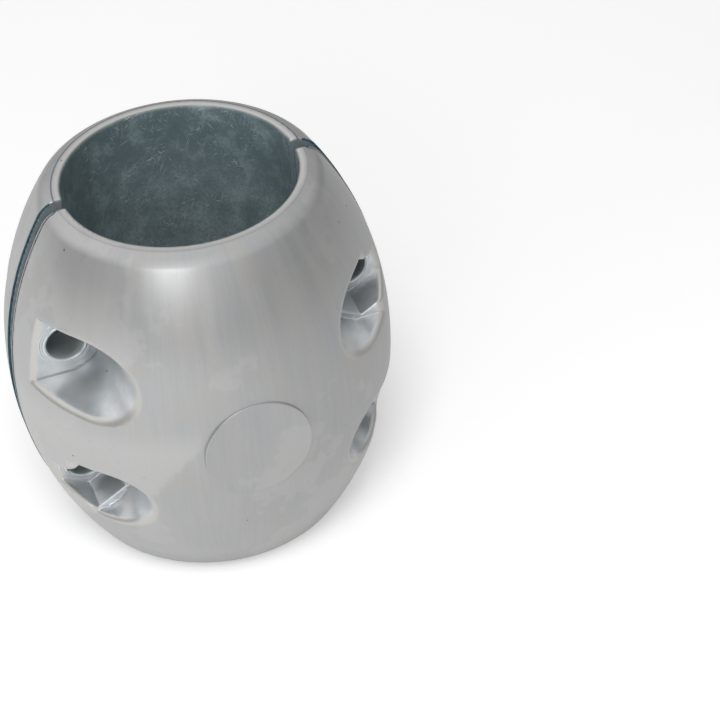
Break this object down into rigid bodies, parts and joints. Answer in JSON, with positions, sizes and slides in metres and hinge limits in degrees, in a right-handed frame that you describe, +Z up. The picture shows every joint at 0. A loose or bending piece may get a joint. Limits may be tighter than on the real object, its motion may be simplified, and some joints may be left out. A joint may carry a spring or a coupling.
{
  "type": "shaft collar sacrificial anode",
  "caption": "Barrel-shaped cast zinc anode in two halves that clamp round a propeller shaft, with recessed bolt pockets and nut traps and a bare round plate on each half.",
  "frame": {"origin": "centre of the lower end, on the shaft's axis, in the plane that the part stands on", "axes": "+Z up the shaft; the halves part along the plane Y = 0; the front half is on the -Y side and the bolts run along Y"},
  "size_m": [0.1188, 0.117, 0.122],
  "materials": {
    "zinc": "satin die cast zinc"
  },
  "bodies": {
    "root": {"front_half": "zinc", "rear_half": "zinc"}
  },
  "joints": []
}
